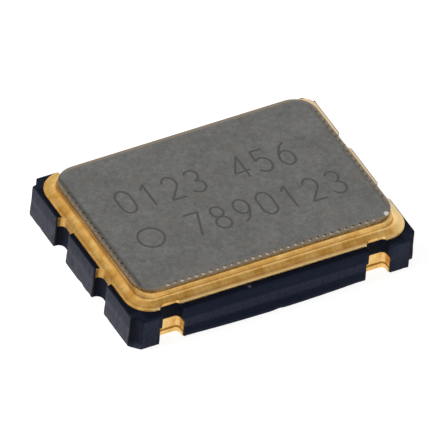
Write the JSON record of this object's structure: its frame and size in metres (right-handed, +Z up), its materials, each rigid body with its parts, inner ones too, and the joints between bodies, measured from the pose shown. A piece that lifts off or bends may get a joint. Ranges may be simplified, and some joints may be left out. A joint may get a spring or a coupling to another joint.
{
  "type": "crystal oscillator",
  "caption": "Surface-mount crystal oscillator: quartz blank and chip sealed in a black ceramic body under a seam-welded metal lid.",
  "frame": {"origin": "middle of the package on the underside of the solder pads", "axes": "+X along the long sides, +Y across the body away from the marked corner, +Z up through the lid"},
  "size_m": [0.007, 0.005, 0.0013],
  "materials": {
    "black_alumina": "dark unglazed co-fired alumina, pressed and snapped",
    "gold_plating": "soft gold flash over nickel",
    "gold_plated_ring": "iron-nickel-cobalt alloy, gold plated",
    "nickel_lid": "matt nickel over rolled iron-nickel-cobalt sheet",
    "quartz": "lapped and etched quartz",
    "silver_film": "evaporated silver",
    "silicon": "passivated silicon",
    "silver_glue": "cured silver-filled resin",
    "gold_wire": "bare gold wire"
  },
  "bodies": {
    "root": {"ceramic_base": "black_alumina", "seal_land": "gold_plating", "seal_braze": "gold_plating", "seal_ring": "gold_plated_ring", "lid": "nickel_lid", "terminal_1": "gold_plating", "terminal_2": "gold_plating", "terminal_3": "gold_plating", "terminal_4": "gold_plating", "side_terminal_1": "gold_plating", "side_terminal_2": "gold_plating", "side_terminal_3": "gold_plating", "side_terminal_4": "gold_plating", "quartz_blank": "quartz", "top_electrode": "silver_film", "bottom_electrode": "silver_film", "crystal_glue_1": "silver_glue", "crystal_glue_2": "silver_glue", "crystal_land_1": "gold_plating", "crystal_land_2": "gold_plating", "oscillator_chip": "silicon", "chip_glue": "silver_glue", "chip_land": "gold_plating", "bond_finger_1": "gold_plating", "bond_finger_2": "gold_plating", "bond_finger_3": "gold_plating", "bond_finger_4": "gold_plating", "bond_finger_5": "gold_plating", "bond_finger_6": "gold_plating", "bond_finger_7": "gold_plating", "bond_finger_8": "gold_plating", "bond_wire_1": "gold_wire", "bond_wire_2": "gold_wire", "bond_wire_3": "gold_wire", "bond_wire_4": "gold_wire", "bond_wire_5": "gold_wire", "bond_wire_6": "gold_wire", "bond_wire_7": "gold_wire", "bond_wire_8": "gold_wire"}
  },
  "joints": []
}
